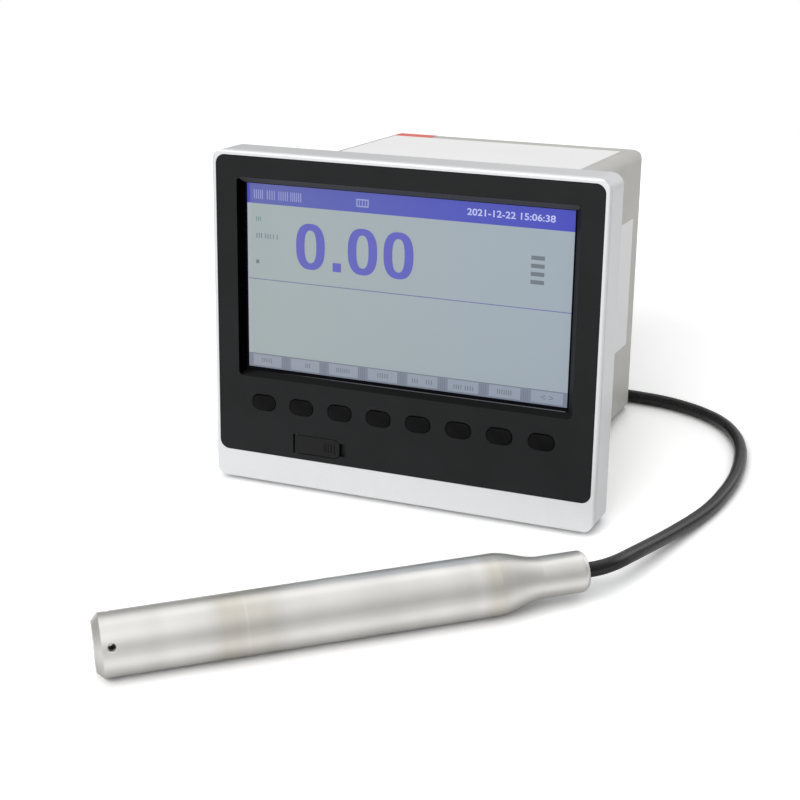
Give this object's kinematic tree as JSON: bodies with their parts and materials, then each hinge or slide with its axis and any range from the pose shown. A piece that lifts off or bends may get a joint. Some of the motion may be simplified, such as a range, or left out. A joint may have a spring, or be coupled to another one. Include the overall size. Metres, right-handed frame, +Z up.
{
  "type": "water level meter",
  "caption": "Panel-mount water level meter with a colour screen, oval keys and a hinged USB door, wired by its cable to a stainless steel submersible level probe.",
  "frame": {"origin": "middle of the footprint of the display and the probe, on the surface that they stand and lie on", "axes": "+Z up; the display faces -Y and leans back on its case by 5.9 degrees; +X to the display's right as its user sees it"},
  "size_m": [0.2341, 0.4608, 0.156],
  "materials": {
    "silver_frame": "satin silver",
    "black_face": "satin",
    "key_black": "glossy",
    "door_black": "satin",
    "screen_glass": "anti-glare",
    "tray_steel": "plain sheet",
    "screw_steel": "zinc plated",
    "white_plastic": "matt",
    "board_green": "solder mask",
    "module_silver": "plain",
    "case_grey": "fine texture",
    "rubber_black": "matt",
    "terminal_green": "satin",
    "terminal_black": "satin",
    "label_white": "smooth film",
    "seal_red": "thin film",
    "stainless": "turned",
    "cable_black": "matt",
    "core_red": "satin",
    "tie_black": "satin"
  },
  "bodies": {
    "meter": {"bezel_frame": "silver_frame", "face_panel": "black_face", "lcd_frame": "tray_steel", "lcd_panel": "screen_glass", "lcd_backlight": "white_plastic", "lcd_bracket": "tray_steel", "lcd_screws": "screw_steel", "key_board": "board_green", "board_screws": "screw_steel", "usb_door_pin": "screw_steel", "usb_socket": "tray_steel", "frame_gasket": "rubber_black", "case_shell": "case_grey", "case_screws": "screw_steel", "main_board": "board_green", "board_lower": "board_green", "board_upper": "board_green", "power_module": "module_silver", "rear_panel": "case_grey", "rear_screws": "screw_steel", "terminals_upper_left": "terminal_green", "terminals_upper_right": "terminal_green", "terminals_lower": "terminal_green", "terminals_power": "terminal_black", "terminal_screws": "screw_steel", "top_label": "label_white", "side_label": "label_white", "edge_seal": "seal_red", "probe_nose": "stainless", "sensor_capsule": "stainless", "sensor_oring": "rubber_black", "probe_tube": "stainless", "probe_board": "board_green", "probe_tail": "stainless", "cable_bush": "rubber_black", "cable_run": "cable_black", "cable_coil": "cable_black", "cable_lead": "cable_black", "cable_cores": "core_red", "coil_tie": "tie_black"},
    "key_1": {"key_1": "key_black"},
    "key_2": {"key_2": "key_black"},
    "key_3": {"key_3": "key_black"},
    "key_4": {"key_4": "key_black"},
    "key_5": {"key_5": "key_black"},
    "key_6": {"key_6": "key_black"},
    "key_7": {"key_7": "key_black"},
    "key_8": {"key_8": "key_black"},
    "usb_door": {"usb_door": "door_black"}
  },
  "joints": [
    {"name": "key_1_press", "type": "slide", "parent": "meter", "child": "key_1", "axis": [0, 0.9946, -0.1035], "range_m": [0, 0.0006], "stiffness_N_per_m": 1200},
    {"name": "key_2_press", "type": "slide", "parent": "meter", "child": "key_2", "axis": [0, 0.9946, -0.1035], "range_m": [0, 0.0006], "stiffness_N_per_m": 1200},
    {"name": "key_3_press", "type": "slide", "parent": "meter", "child": "key_3", "axis": [0, 0.9946, -0.1035], "range_m": [0, 0.0006], "stiffness_N_per_m": 1200},
    {"name": "key_4_press", "type": "slide", "parent": "meter", "child": "key_4", "axis": [0, 0.9946, -0.1035], "range_m": [0, 0.0006], "stiffness_N_per_m": 1200},
    {"name": "key_5_press", "type": "slide", "parent": "meter", "child": "key_5", "axis": [0, 0.9946, -0.1035], "range_m": [0, 0.0006], "stiffness_N_per_m": 1200},
    {"name": "key_6_press", "type": "slide", "parent": "meter", "child": "key_6", "axis": [0, 0.9946, -0.1035], "range_m": [0, 0.0006], "stiffness_N_per_m": 1200},
    {"name": "key_7_press", "type": "slide", "parent": "meter", "child": "key_7", "axis": [0, 0.9946, -0.1035], "range_m": [0, 0.0006], "stiffness_N_per_m": 1200},
    {"name": "key_8_press", "type": "slide", "parent": "meter", "child": "key_8", "axis": [0, 0.9946, -0.1035], "range_m": [0, 0.0006], "stiffness_N_per_m": 1200},
    {"name": "usb_door_hinge", "type": "hinge", "parent": "meter", "child": "usb_door", "pos_m": [-0.05924, 0.00934, 0.02276], "axis": [0, -0.1035, -0.9946], "range_deg": [0, 95]}
  ]
}
